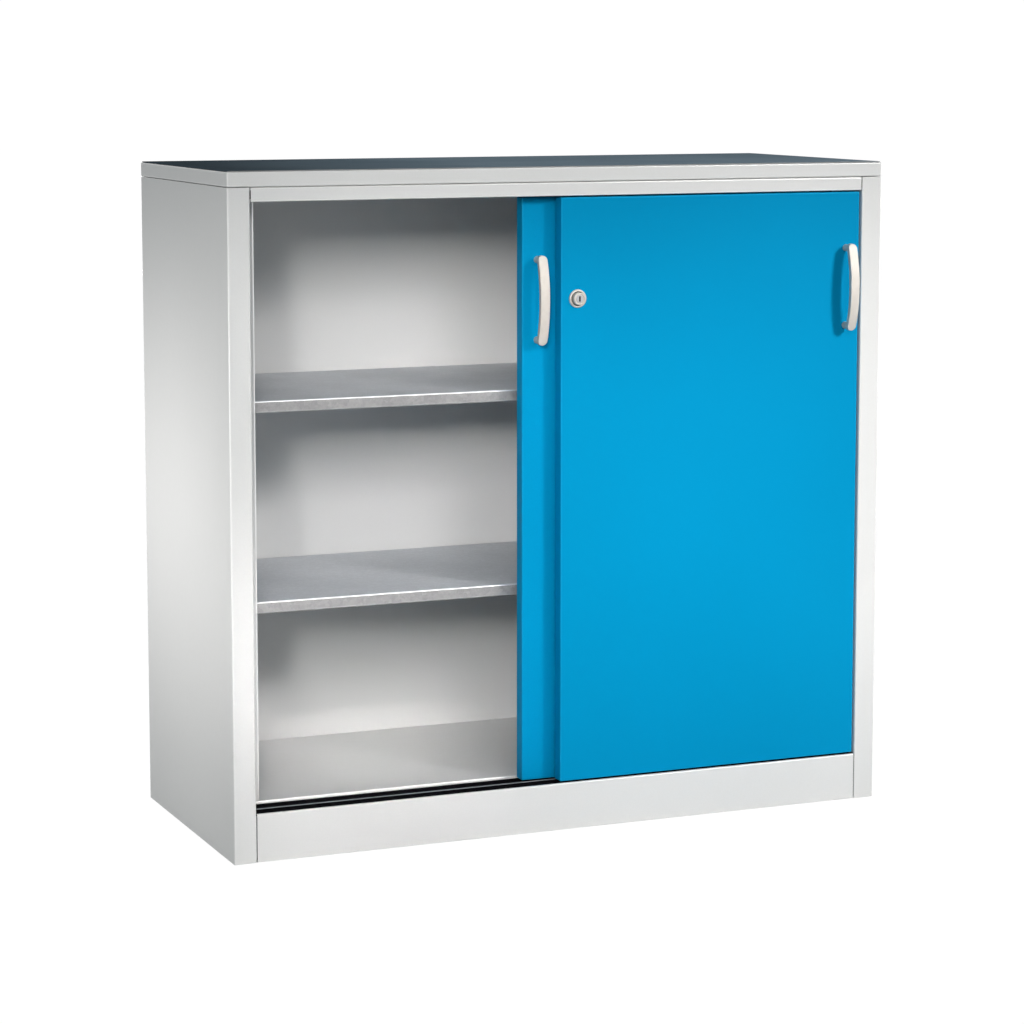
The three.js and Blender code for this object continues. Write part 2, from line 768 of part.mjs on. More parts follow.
// Uprights, shelves and their clips
const frontUprightAt = hemBack + frontUprightGap;
const backUprightAt = backInside - backUprightGap - uprightWidth;
const sides = [["left", -1], ["right", 1]];
const rows = [["front", frontUprightAt], ["back", backUprightAt]];
const levels = [["lower", 1], ["upper", shelfCount]];
for (const [sideName, side] of sides) {
  for (const [rowName, y] of rows) {
    piece(cabinet, `${rowName}_${sideName}_upright`, upright(side, y), greyPaint);
    for (const [levelName, level] of levels) {
      piece(
        cabinet, `${levelName}_${rowName}_${sideName}_clip`, shelfClip(side), brightSteel,
        side * uprightFace, y + uprightWidth / 2, ledgeTop(level),
      );
    }
  }
}
for (const [levelName, level] of levels) {
  const half = uprightFace - shelfSideGap;
  const shelf = tray(
    -half, half,
    hemBack + shelfFrontGap, backInside - shelfBackGap,
    shelfTop(level) - shelfLip, shelfTop(level),
    shelfReturn,
  );
  piece(cabinet, `${levelName}_shelf`, shelf, galvanised);
}

// What both doors have, in the door's own frame: x from its left edge, y back from its face, z from its foot
function dressDoor(door, name, handleX, handleZ, otherHoles) {
  const legHeights = [["upper", handleZ + legOffset], ["lower", handleZ - legOffset]];
  const screwHoles = legHeights.map(([, z]) =>
    barAlongY(screwHole, -cutPast, sheet + cutPast, handleX, z, roundSteps));
  piece(door, `${name}_door_pan`, doorPan([...screwHoles, ...otherHoles]), bluePaint);
  piece(door, `${name}_door_stiffener`, doorStiffener(), galvanised);
  piece(door, `${name}_door_handle`, bowHandle(), satinNickel, handleX, 0, handleZ);
  for (const [end, z] of legHeights) {
    piece(door, `${name}_handle_${end}_screw`, handleScrew(), brightSteel, handleX, 0, z);
  }
  for (const [end, x] of [["left", rollerInset], ["right", doorWidth - rollerInset]]) {
    const axle = barAlongY(axleRadius, -bracketHalf, bracketHalf, 0, 0, roundSteps);
    piece(door, `${name}_door_${end}_roller`, roller(), blackPlastic, x, rollerPlane, rollerHeight);
    piece(door, `${name}_door_${end}_axle`, axle, brightSteel, x, rollerPlane, rollerHeight);
    piece(door, `${name}_door_${end}_bracket`, rollerBracket(), galvanised, x, rollerPlane, rollerHeight);
    piece(door, `${name}_door_${end}_guide`, doorGuide(), blackPlastic, x, rollerPlane, doorHeight);
  }
}

// Front door, closed against the right post, with the lock at its left edge
const frontDoor = new THREE.Group();
frontDoor.position.set(frontDoorLeft, doorSetback, doorFoot);
cabinet.add(frontDoor);
const lockHole = barAlongY(
  barrelRadius + seatGap, -cutPast, sheet + cutPast,
  lockInset, lockHeight, lockSteps,
);
dressDoor(frontDoor, "front", doorWidth - handleInset, frontHandleHeight, [lockHole]);
piece(frontDoor, "lock_housing", lockHousing(), satinNickel, lockInset, 0, lockHeight);
piece(frontDoor, "lock_cylinder", lockCylinder(), satinNickel, lockInset, 0, lockHeight);
piece(frontDoor, "lock_plug", lockPlug(), brightSteel, lockInset, 0, lockHeight);
piece(frontDoor, "lock_nut", lockNut(), galvanised, lockInset, 0, lockHeight);

// Rear door, slid open to the right behind the front door
const rearDoor = new THREE.Group();
rearDoor.position.set(rearDoorLeft, doorSetback + trackPitch, doorFoot);
cabinet.add(rearDoor);
dressDoor(rearDoor, "rear", handleInset, rearHandleHeight, []);

// Rubber buffers on the posts, where each door closes, and the block that stops the rear door when open
const bufferPlaces = [
  ["left", -1, doorSetback + trackPitch + doorThickness / 2],
  ["right", 1, doorSetback + doorThickness / 2],
];
const bufferHeights = [["upper", doorHeight - bufferFromEnd], ["lower", bufferFromEnd]];
for (const [sideName, side, y] of bufferPlaces) {
  for (const [end, z] of bufferHeights) {
    const thickness = doorSideGap - 2 * seatGap;
    piece(
      cabinet, `${sideName}_${end}_buffer`,
      barAlongX(bufferRadius, -thickness / 2, thickness / 2, 0, 0, roundSteps), blackRubber,
      side * (openingHalf - doorSideGap / 2), y, doorFoot + z,
    );
  }
}
const stopAt = rearDoorLeft + doorWidth + seatGap;
const stopMiddle = doorSetback + trackPitch + doorThickness / 2;
piece(
  cabinet, "rear_door_stop",
  block(
    stopAt, stopAt + stopLength,
    stopMiddle - stopWidth / 2, stopMiddle + stopWidth / 2,
    beadTop + seatGap, beadTop + seatGap + stopHeight,
  ),
  blackRubber,
);

export default slidingDoorCabinet;
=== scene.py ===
# A steel cupboard with two sliding doors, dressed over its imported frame.
# Metres, +Z up. The doors face -Y.
# The rear (left) door stands open behind the front (right) one.

import json
import math

import bmesh
import bpy
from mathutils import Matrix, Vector


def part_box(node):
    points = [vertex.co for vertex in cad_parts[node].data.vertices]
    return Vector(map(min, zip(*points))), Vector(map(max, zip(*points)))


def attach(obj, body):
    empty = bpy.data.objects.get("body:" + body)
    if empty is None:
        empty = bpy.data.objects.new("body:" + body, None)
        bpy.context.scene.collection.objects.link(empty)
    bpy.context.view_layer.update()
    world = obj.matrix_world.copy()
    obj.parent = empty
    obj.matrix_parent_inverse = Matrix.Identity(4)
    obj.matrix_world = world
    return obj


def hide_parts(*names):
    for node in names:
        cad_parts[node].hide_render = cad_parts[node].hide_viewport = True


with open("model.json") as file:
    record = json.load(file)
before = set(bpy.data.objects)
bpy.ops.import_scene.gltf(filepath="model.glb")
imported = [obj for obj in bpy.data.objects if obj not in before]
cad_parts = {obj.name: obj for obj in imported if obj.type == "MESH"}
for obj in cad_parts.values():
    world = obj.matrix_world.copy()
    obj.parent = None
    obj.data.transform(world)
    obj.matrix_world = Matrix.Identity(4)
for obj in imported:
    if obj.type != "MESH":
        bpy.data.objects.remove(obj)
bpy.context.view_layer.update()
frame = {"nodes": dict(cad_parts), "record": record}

# Axes, and the two sides of a box along one
x_axis, y_axis, z_axis = range(3)
low_side, high_side = -1, 1

# Sheet metal
sheet = 0.001
press_radius = 0.0022  # outside radius of a pressed corner
press_steps = 4
round_profile = 0.5  # a bevel's profile that is a quarter circle
merge_distance = 1e-6
match_room = sheet / 4  # places nearer than this count as the same
flat_angle = math.radians(0.5)
smooth_angle = math.radians(35)
bevel_angle = math.radians(40)
rim_angle = math.radians(60)
flat_share = 0.995  # a face whose normal lies this near an axis counts as flat
flat_weight = 100  # how firmly the large flats hold the shading

# Rounding of each kind of edge
cut_edge = 0.0002  # a sheet's cut edge
upright_edge = 0.00015
track_edge = 0.0003
fine_edge = 0.0003  # axles and the lock's plug
small_edge = 0.0004  # clips, screws, rollers and the lock's nut
bracket_edge = 0.0006
covering_edge = 0.0006
soft_edge = 0.0008  # buffers and head guides
stop_edge = 0.001

# Door pans
door_lip = 0.014
roller_room = 0.0010

# Trays
cover_return = 0.013
shelf_return = 0.011

# Side panels: the hem that closes the inner flange, seen round the opening
hem_from_side = 0.067
hem_radius = 0.0009
hem_steps = 4
hem_highlight_width = 0.0019  # the part of the hem that carries a painted highlight
highlight_shine = 0.85  # how metallic a bend looks where a highlight is painted on it
plain_highlight = 0.2  # the share of the painted highlight on an ordinary bend
clear_highlight = 0.6  # on one with a clearer painted highlight
full_highlight = 1.0  # and on one with a painted highlight all along
bend_reach = 0.003

# Lower track: a highlight is painted along the top of its middle wall
track_wall_y = -0.19505
track_wall_half = 0.0012
track_wall_below = 0.001  # under the track's front wall
painted_line_height = 0.0014

# The covering sheet's dark colour is a painted reflection, with painted shade darker towards its
# left end
sheet_shades = (0.36, 1.0)
sheet_shade_span = (-0.56, -0.10)
sheet_highlight_depth = 0.0014  # its front edge has a painted highlight

# Bow handle
handle_width = 0.016
handle_bar = 0.008
handle_end_reach = 0.024
handle_edge = 0.0024
handle_edge_steps = 5
handle_stations = 28
height_decimals = 7  # for finding the points at the same height
bow_power = 2.2

# Its legs, each with a bead at the foot and a flare at the bar
handle_leg = 0.0058
handle_flare = 0.0076
leg_bead = 0.0004
leg_bead_middle = 0.0012
leg_bead_end = 0.003
leg_flare_start = 0.004
leg_flare_steps = 6
leg_flare_power = 2.5
leg_lap = 0.001  # how far a leg runs into the bar

# Lock
rosette_radius = 0.0156
rosette_height = 0.004
rosette_rim = 0.0022
rosette_rim_steps = 8
rosette_gap = 0.0003  # between the rosette and the door
rosette_recess_radius = 0.0124
rosette_recess = 0.0030
recess_edge = 0.0004
lock_bore_radius = 0.0107
lock_barrel_radius = 0.0128
lock_barrel_back = 0.020
lock_barrel_floor = 0.002
lock_hole_room = 0.0001
shade_ring_thickness = 0.0006
shade_ring_room = 0.0002
cylinder_radius = 0.0105
cylinder_length = 0.021
cylinder_edge = 0.0012
cylinder_edge_steps = 6
cylinder_dish_radius = 0.0076
cylinder_dish = 0.0014
dish_slope = 0.0006
plug_bore_radius = 0.0066
plug_bore_depth = 0.0145
pin_radius = 0.004
pin_edge = 0.0005
pin_room = 0.0003
lock_sides = 64

keyway_width = 0.0030
keyway_height = 0.0088
keyway_room = 0.0003
keyway_depth = 0.0080

# Dark strips behind the open joints at the front rails' ends, painted shade in the joints
joint_reach = 0.0014
joint_lap = 0.0045
joint_room = 0.0003
joint_strip_thickness = 0.0005

# Rivets on the back
rivet_radius = 0.0032
rivet_height = 0.0009
rivet_sides = 20
rivet_rings = 10
rivet_pitch = 0.120
rivet_from_ends = 0.012
rivet_from_sides = 0.027  # clear of the side panels' returns

# The photograph's camera, placed from the middle of the cabinet's footprint
camera_left = 2.0466
camera_front = 4.8564
camera_height = 1.3204
camera_turn = math.radians(22.862)
camera_tilt = math.radians(7.0)
camera_lens = 105.29
camera_sensor = 36
camera_shift = -0.0846
camera_sees_to = 200

# Light from all round and from the lamps, and how white the background shows
world_light = 0.24
world_tint = (0.90, 1, 1.02)
world_white = 1.02
lamp_tint = (1, 0.978, 0.961)
floor_reach = 40
floor_grey = 0.86
floor_roughness = 0.9
floor_white = 0.93
floor_glow = 1.07

bodies = frame["record"]["behaviour"]["bodies"]
node_body = {node: body for body, nodes in bodies.items() for node in nodes}
node_slot = {part["node"]: part["material_slot"] for part in frame["record"]["subparts"]}


# Finishes

def node(tree, kind, inputs=None, **settings):
    """A shader node with its settings, and with its inputs set to values or joined to sockets."""
    made = tree.nodes.new(kind)
    for name, value in settings.items():
        setattr(made, name, value)
    for name, value in (inputs or {}).items():
        if isinstance(value, bpy.types.NodeSocket):
            tree.links.new(value, made.inputs[name])
        else:
            made.inputs[name].default_value = value
    return made


def new_finish(name, **sockets):
    """A material with its shader's fixed values, and the object coordinates to build on."""
    material = bpy.data.materials.new(name)
    material.use_nodes = True
    tree = material.node_tree
    shader = tree.nodes["Principled BSDF"]
    for socket, value in sockets.items():
        shader.inputs[socket.replace("_", " ")].default_value = value
    place = node(tree, "ShaderNodeTexCoord").outputs["Object"]
    return material, tree, shader, place


def noise(tree, place, scale, detail=2.0, roughness=0.5):
    return node(
        tree, "ShaderNodeTexNoise",
        {"Vector": place, "Scale": scale, "Detail": detail, "Roughness": roughness},
    ).outputs["Fac"]


def spread(tree, value, low, high, from_low=0.3, from_high=0.7):
    """A pattern's value moved from its own range to another."""
    return node(tree, "ShaderNodeMapRange", {
        "Value": value, "From Min": from_low, "From Max": from_high, "To Min": low, "To Max": high,
    }).outputs["Result"]


def maths(tree, operation, first, second=None):
    """A sum on one or two values, each a number or a socket."""
    inputs = {0: first} if second is None else {0: first, 1: second}
    return node(tree, "ShaderNodeMath", inputs, operation=operation).outputs["Value"]


def times(tree, first, second):
    return maths(tree, "MULTIPLY", first, second)


def plus(tree, first, second):
    return maths(tree, "ADD", first, second)


def mixed(tree, amount, first, second):
    """Two colours mixed by a pattern's value, each a fixed colour or a socket."""
    inputs = {0: amount, 6: first, 7: second}
    return node(tree, "ShaderNodeMix", inputs, data_type="RGBA").outputs[2]


def shade_between(tree, dark, light, amount):
    return mixed(tree, amount, (*dark, 1), (*light, 1))


def shade_of(colour, share):
    """A darker or lighter shade of a colour."""
    return tuple(min(1, channel * share) for channel in colour)


def roughness_from(tree, shader, pattern, low, high, **limits):
    tree.links.new(spread(tree, pattern, low, high, **limits), shader.inputs["Roughness"])


def bump(tree, shader, height, strength, distance):
    inputs = {"Height": height, "Strength": strength, "Distance": distance}
    made = node(tree, "ShaderNodeBump", inputs)
    tree.links.new(made.outputs["Normal"], shader.inputs["Normal"])


def painted_highlight_where_marked(tree, shader, colour, light):
    """Gives the shader a colour, and a painted highlight colour on the marked faces. Returns the
    mark.
    """
    mark = node(tree, "ShaderNodeAttribute", attribute_name="bend").outputs["Fac"]
    tree.links.new(mixed(tree, mark, colour, (*light, 1)), shader.inputs["Base Color"])
    return mark


def painted_highlight_on_bends(tree, shader, colour, bright, metallic, shine):
    """The colour, with a painted highlight, lighter and more metallic, where a mark says that the
    sheet bends.
    """
    mark = painted_highlight_where_marked(tree, shader, colour, bright)
    shining = spread(tree, mark, metallic, shine, from_low=0, from_high=1)
    tree.links.new(shining, shader.inputs["Metallic"])


def powder_coat(name, colour, bright, roughness, grain, gloss, shine):
    """Powder coat: a slow drift of shade, a fine grain of the powder, and its orange peel."""
    material, tree, shader, place = new_finish(name, Metallic=0.0, Specular_IOR_Level=gloss)
    slow = spread(tree, noise(tree, place, scale=2.2, detail=3), 0, 0.5)
    fine = spread(tree, noise(tree, place, scale=640), 0, 0.5)
    dark, light = shade_of(colour, 1 - grain), shade_of(colour, 1 + grain)
    coat = shade_between(tree, dark, light, plus(tree, slow, fine))
    # Painted highlight on the marked folds
    painted_highlight_on_bends(tree, shader, coat, bright, metallic=0, shine=shine)
    waves = noise(tree, place, scale=90, detail=3)
    roughness_from(tree, shader, waves, roughness - 0.03, roughness + 0.04)
    fine_peel = times(tree, noise(tree, place, scale=1500, detail=1), 0.35)
    peel = plus(tree, noise(tree, place, scale=420), fine_peel)
    bump(tree, shader, peel, strength=0.3, distance=0.00003)
    return material


def galvanised_sheet(name):
    """Zinc spangle: crystals of slightly different grey and gloss, with a faint frosting.

    The shelves' front lips get a darker copy of the zinc as painted shade, and the marked bends
    get a painted highlight.
    """
    material, tree, shader, place = new_finish(name, Specular_IOR_Level=0.8)
    crystals = node(
        tree, "ShaderNodeTexVoronoi", {"Vector": place, "Scale": 150, "Randomness": 1.0},
    ).outputs["Color"]
    tone = node(tree, "ShaderNodeSeparateColor", {"Color": crystals}).outputs["Red"]
    frost = spread(tree, noise(tree, place, scale=260, detail=4, roughness=0.65), 0, 0.35)
    clouds = spread(tree, noise(tree, place, scale=9, detail=3), 0, 0.25)
    amount = plus(tree, times(tree, tone, 0.4), plus(tree, frost, clouds))
    zinc = shade_between(tree, (0.46, 0.485, 0.52), (0.70, 0.725, 0.76), amount)
    # Painted shade: a darker copy of the zinc for the shelves' front lips
    shaded_zinc = shade_between(tree, (0.205, 0.205, 0.21), (0.35, 0.346, 0.346), amount)
    depth = node(tree, "ShaderNodeSeparateXYZ", {"Vector": place}).outputs["Y"]
    lip_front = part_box("lower_shelf")[0].y
    lip = spread(
        tree, depth, 1, 0, from_low=lip_front + sheet, from_high=lip_front + 2 * sheet,
    )
    coat = mixed(tree, lip, zinc, shaded_zinc)
    painted_highlight_on_bends(tree, shader, coat, (0.88, 0.90, 0.92), metallic=0.25, shine=highlight_shine)
    roughness_from(tree, shader, tone, 0.36, 0.52, from_low=0, from_high=1)
    bump(tree, shader, plus(tree, tone, frost), strength=0.3, distance=0.00004)
    return material


def covering_sheet(name):
    """The dark sheet on the top, its dark colour a painted reflection: fine leather-like grain, no
    gloss, painted shade darker towards its left end, and a painted highlight along its front edge.
    """
    material, tree, shader, place = new_finish(name, Metallic=0.0, Specular_IOR_Level=0.0)
    grain = noise(tree, place, scale=900, detail=3, roughness=0.6)
    clouds = spread(tree, noise(tree, place, scale=3.5, detail=3), 0, 0.5)
    amount = plus(tree, clouds, spread(tree, grain, 0, 0.5))
    slate = shade_between(tree, (0.190, 0.250, 0.305), (0.300, 0.380, 0.450), amount)
    along = node(tree, "ShaderNodeSeparateXYZ", {"Vector": place}).outputs["X"]
    # Painted shade: darker towards the left end
    lit_share = spread(tree, along, *sheet_shades, *sheet_shade_span)
    shaded_slate = node(
        tree, "ShaderNodeVectorMath", {0: slate, "Scale": lit_share}, operation="SCALE",
    ).outputs["Vector"]
    painted_highlight_where_marked(tree, shader, shaded_slate, (0.34, 0.35, 0.355))
    roughness_from(tree, shader, grain, 0.55, 0.7)
    bump(tree, shader, grain, strength=0.6, distance=0.00008)
    return material


def drawn_plastic(name, colour, roughness, streak, painted_line_colour):
    """Extruded plastic: matt, with faint lines along X, and a painted highlight on the marked
    faces.
    """
    material, tree, shader, place = new_finish(name, Metallic=0.0, Specular_IOR_Level=0.0)
    drawn = node(tree, "ShaderNodeMapping", {"Vector": place, "Scale": (3, 1400, 1400)})
    lines = noise(tree, drawn.outputs["Vector"], scale=1.0)
    light = shade_of(colour, 1 + streak)
    plain = shade_between(tree, colour, light, spread(tree, lines, 0, 1))
    painted_highlight_where_marked(tree, shader, plain, painted_line_colour)
    roughness_from(tree, shader, lines, roughness - 0.05, roughness + 0.07)
    bump(tree, shader, lines, strength=0.3, distance=0.00003)
    return material


def satin_metal(name, colour, roughness, grain_scale, metallic):
    """Plated metal with a fine satin grain and slight clouds."""
    material, tree, shader, place = new_finish(name, Metallic=metallic, Specular_IOR_Level=0.5)
    grain = noise(tree, place, grain_scale, detail=3, roughness=0.6)
    clouds = spread(tree, noise(tree, place, scale=60), 0, 1)
    tone = shade_between(tree, shade_of(colour, 0.93), colour, clouds)
    tree.links.new(tone, shader.inputs["Base Color"])
    roughness_from(tree, shader, grain, roughness - 0.05, roughness + 0.06)
    bump(tree, shader, grain, strength=0.35, distance=0.00002)
    return material


def moulded(name, colour, roughness, grain_scale):
    """Moulded nylon or rubber with a fine matt grain."""
    material, tree, shader, place = new_finish(name, Metallic=0.0, Specular_IOR_Level=0.4)
    grain = noise(tree, place, grain_scale, detail=3)
    tone = shade_between(tree, shade_of(colour, 0.92), colour, spread(tree, grain, 0, 1))
    tree.links.new(tone, shader.inputs["Base Color"])
    roughness_from(tree, shader, grain, roughness - 0.06, roughness + 0.06)
    bump(tree, shader, grain, strength=0.4, distance=0.00005)
    return material


finishes = {
    # The light colours given with each coat are painted highlights on the marked folds
    "grey_paint": powder_coat(
        "Light grey powder coat", colour=(0.71, 0.71, 0.705), bright=(0.90, 0.90, 0.895),
        roughness=0.36, grain=0.03, gloss=0.4, shine=highlight_shine,
    ),
    "blue_paint": powder_coat(
        "Blue powder coat", colour=(0.0, 0.262, 0.510), bright=(0.02, 0.40, 0.72),
        roughness=0.42, grain=0.05, gloss=0.03, shine=0.3,
    ),
    "galvanised_steel": galvanised_sheet("Galvanised sheet"),
    "dark_sheet": covering_sheet("Dark top sheet, painted reflection"),
    "black_track": drawn_plastic(
        "Black track plastic", colour=(0.004, 0.004, 0.005), roughness=0.42, streak=0.5,
        painted_line_colour=(0.24, 0.26, 0.28),
    ),
    "satin_nickel": satin_metal(
        "Satin nickel", colour=(0.60, 0.565, 0.52), roughness=0.58, grain_scale=1100,
        metallic=0.3,
    ),
    "bright_steel": satin_metal(
        "Bright zinc plate", colour=(0.46, 0.47, 0.49), roughness=0.34, grain_scale=600,
        metallic=0.7,
    ),
    "black_plastic": moulded(
        "Black nylon", colour=(0.012, 0.012, 0.013), roughness=0.45, grain_scale=700,
    ),
    "black_rubber": moulded(
        "Black rubber", colour=(0.018, 0.018, 0.019), roughness=0.7, grain_scale=900,
    ),
}


# Making pieces

def piece_of(form, name):
    """A new object whose place is in its mesh."""
    mesh = bpy.data.meshes.new(name)
    form.to_mesh(mesh)
    form.free()
    piece = bpy.data.objects.new(name, mesh)
    bpy.context.scene.collection.objects.link(piece)
    return piece


def baked(piece):
    """The same piece with its modifiers made part of its mesh."""
    graph = bpy.context.evaluated_depsgraph_get()
    mesh = bpy.data.meshes.new_from_object(piece.evaluated_get(graph), depsgraph=graph)
    mesh.name = piece.name
    piece.modifiers.clear()
    piece.data = mesh
    return piece


def mark_painted_highlight(mesh, amount, low=None, high=None, flats=False):
    """Marks the faces that turn away from the flats, in a box or everywhere.

    The finish paints a highlight there. With flats, the box's flat faces are marked too.
    """
    bend = mesh.attributes.get("bend") or mesh.attributes.new("bend", "FLOAT", "FACE")
    for face in mesh.polygons:
        inside = low is None or all(low[i] <= face.center[i] <= high[i] for i in range(3))
        if inside and (flats or max(abs(part) for part in face.normal) < flat_share):
            bend.data[face.index].value = amount


def bevelled(piece, width, segments, angle):
    """Rounds the piece's corners that are sharper than the angle."""
    bevel = piece.modifiers.new("Rounded edges", "BEVEL")
    bevel.width = width
    bevel.segments = segments
    bevel.limit_method = "ANGLE"
    bevel.angle_limit = angle
    return baked(piece)


def smooth_folds(piece):
    """Shades the piece smooth round its folds, and sharp at its corners."""
    piece.data.shade_smooth()
    piece.data.set_sharp_from_angle(angle=smooth_angle)
    return piece


def rounded_edges(piece, width, segments, angle=bevel_angle):
    """Rounds the piece's corners and shades its folds smooth, with its flats kept flat."""
    smooth_folds(bevelled(piece, width, segments, angle))
    flats = piece.modifiers.new("Flats kept flat", "WEIGHTED_NORMAL")
    flats.keep_sharp = True
    flats.weight = flat_weight
    baked(piece)
    # Every fold gets a faint painted highlight
    mark_painted_highlight(piece.data, plain_highlight)
    return piece


def stand_for(piece, *nodes):
    """The finished piece takes the place of CAD nodes, on their body and in their finish."""
    slot = node_slot[nodes[0]]
    piece.data.materials.clear()
    piece.data.materials.append(finishes[slot])
    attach(piece, node_body[nodes[0]])
    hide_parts(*nodes)
    return piece


def added(piece, body, slot):
    """A small piece that the frame doesn't have, riding on a body."""
    piece.data.materials.append(finishes[slot])
    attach(piece, body)
    return piece


def whole_faces(name):
    """A copy of a CAD node's mesh, its loose triangles merged into whole faces."""
    form = bmesh.new()
    form.from_mesh(frame["nodes"][name].data)
    bmesh.ops.remove_doubles(form, verts=form.verts, dist=merge_distance)
    bmesh.ops.dissolve_limit(form, angle_limit=flat_angle, verts=form.verts, edges=form.edges)
    return form


def box_form(low, high):
    """A plain box between two corners, to bevel or to cut."""
    form = bmesh.new()
    bmesh.ops.create_cube(form, size=1)
    for vert in form.verts:
        vert.co = [low[i] if vert.co[i] < 0 else high[i] for i in range(3)]
    return form


def slice_at(form, axis, place):
    """Cuts the faces along a plane, so that they can be marked or taken out on one side of it."""
    normal = Vector((axis == 0, axis == 1, axis == 2))
    bmesh.ops.bisect_plane(
        form, geom=form.verts[:] + form.edges[:] + form.faces[:],
        plane_co=normal * place, plane_no=normal, dist=merge_distance,
    )


def turned(profile, centre, sides):
    """A closed profile of (radius, y) points turned about the Y axis through a centre."""
    form = bmesh.new()
    rings = []
    for step in range(sides):
        angle = 2 * math.pi * step / sides
        rings.append([
            form.verts.new((
                centre.x + radius * math.cos(angle),
                centre.y + y,
                centre.z + radius * math.sin(angle),
            ))
            for radius, y in profile
        ])
    count = len(profile)
    for step in range(sides):
        ring, following = rings[step], rings[(step + 1) % sides]
        for i in range(count):
            j = (i + 1) % count
            form.faces.new((ring[i], ring[j], following[j], following[i]))
    bmesh.ops.remove_doubles(form, verts=form.verts, dist=merge_distance)
    bmesh.ops.dissolve_degenerate(form, dist=merge_distance, edges=form.edges)
    bmesh.ops.recalc_face_normals(form, faces=form.faces)
    return form


def arc(middle, radius, start, end, steps):
    """Points of a round corner in a profile, angles in degrees."""
    points = []
    for step in range(steps + 1):
        angle = math.radians(start + (end - start) * step / steps)
        points.append((
            middle[0] + radius * math.cos(angle), middle[1] + radius * math.sin(angle),
        ))
    return points


# Folded and pressed sheet

def folded(name, edge=cut_edge, segments=2):
    """A folded or moulded piece whose form the frame already has, with its edges broken."""
    piece = piece_of(whole_faces(name), name + "_finished")
    return stand_for(rounded_edges(piece, edge, segments), name)


def painted_highlight_along(piece, name, side, amount=clear_highlight):
    """Paints a highlight on the bends along a finished node's top or foot."""
    low, high = (list(corner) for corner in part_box(name))
    if side == low_side:
        high[z_axis] = low[z_axis] + bend_reach
    else:
        low[z_axis] = high[z_axis] - bend_reach
    mark_painted_highlight(
        piece.data, amount, [part - sheet for part in low], [part + sheet for part in high],
    )


def side_panel(name):
    """A side panel whose hem turns over softly, where it frames the opening, with a painted
    highlight along the hem.
    """
    form = whole_faces(name)
    low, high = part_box(name)
    outward = 1 if low.x + high.x > 0 else -1
    outside = high.x if outward > 0 else low.x
    hem_at = outside - outward * hem_from_side
    front = min(vert.co.y for vert in form.verts if abs(vert.co.x - hem_at) < match_room)
    behind = front + 3 * sheet
    hem = [
        edge for edge in form.edges
        if all(abs(vert.co.x - hem_at) < match_room and vert.co.y < behind for vert in edge.verts)
        and abs(edge.verts[0].co.z - edge.verts[1].co.z) > hem_from_side
    ]
    bmesh.ops.bevel(
        form, geom=hem, offset=hem_radius, segments=hem_steps,
        profile=round_profile, affect="EDGES",
    )
    slice_at(form, x_axis, hem_at + outward * hem_highlight_width)
    piece = rounded_edges(piece_of(form, name + "_finished"), cut_edge, segments=2)
    near, far = sorted((hem_at - outward * sheet, hem_at + outward * hem_highlight_width))
    mark_painted_highlight(
        piece.data, full_highlight, (near, front - sheet, low.z), (far, behind, high.z), flats=True,
    )
    return stand_for(piece, name)


def lower_track(name):
    """The lower track, with a painted highlight along the top of its middle wall."""
    form = whole_faces(name)
    low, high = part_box(name)
    top = high.z - track_wall_below
    slice_at(form, z_axis, top - painted_line_height)
    piece = rounded_edges(piece_of(form, name + "_finished"), track_edge, segments=2)
    mark_painted_highlight(piece.data, 0)
    mark_painted_highlight(
        piece.data, full_highlight, (low.x, track_wall_y - track_wall_half, top - painted_line_height),
        (high.x, track_wall_y + track_wall_half, top + match_room), flats=True,
    )
    return stand_for(piece, name)


def top_covering(name):
    """The covering sheet, marked for a painted highlight along its front edge and nowhere else."""
    piece = folded(name, covering_edge)
    low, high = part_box(name)
    mark_painted_highlight(piece.data, 0)
    mark_painted_highlight(
        piece.data, full_highlight, low - Vector((sheet, sheet, sheet)),
        (high.x + sheet, low.y + sheet_highlight_depth, high.z + sheet), flats=True,
    )


def pressed(name, openings, bores=()):
    """A pressed sheet box with round corners.

    What lies in each opening's box and in each round bore is left out.
    """
    low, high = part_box(name)
    form = box_form(low, high)
    bmesh.ops.bevel(
        form, geom=form.edges[:], offset=press_radius, segments=press_steps,
        profile=round_profile, affect="EDGES",
    )
    for hole_low, hole_high in openings:
        for axis in range(3):
            for place in (hole_low[axis], hole_high[axis]):
                if low[axis] < place < high[axis]:
                    slice_at(form, axis, place)

    def in_an_opening(place):
        return any(
            all(hole_low[i] < place[i] < hole_high[i] for i in range(3))
            for hole_low, hole_high in openings
        )

    doomed = [face for face in form.faces if in_an_opening(face.calc_center_median())]
    bmesh.ops.delete(form, geom=doomed, context="FACES")
    bmesh.ops.recalc_face_normals(form, faces=form.faces)
    piece = piece_of(form, name + "_finished")
    wall = piece.modifiers.new("Sheet", "SOLIDIFY")
    wall.thickness = sheet
    wall.offset = -1
    wall.use_even_offset = True
    baked(piece)
    for middle, radius in bores:
        profile = [(0, -sheet), (radius, -sheet), (radius, 2 * sheet), (0, 2 * sheet)]
        drill = piece_of(turned(profile, middle, lock_sides), "drill")
        hole = piece.modifiers.new("Bore", "BOOLEAN")
        hole.operation = "DIFFERENCE"
        hole.solver = "EXACT"
        hole.object = drill
        baked(piece)
        bpy.data.objects.remove(drill)
    return stand_for(rounded_edges(piece, cut_edge, segments=1, angle=rim_angle), name)


def inset_box(name, axis, side, depth, insets):
    """The box of an opening in one side of a node: inset along each axis, and depth deep."""
    low, high = (list(corner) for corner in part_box(name))
    for i in range(3):
        if i == axis:
            if side == low_side:
                high[i] = low[i] + depth
            else:
                low[i] = high[i] - depth
            low[i] -= sheet
            high[i] += sheet
        else:
            low[i] += insets[i]
            high[i] -= insets[i]
    return low, high


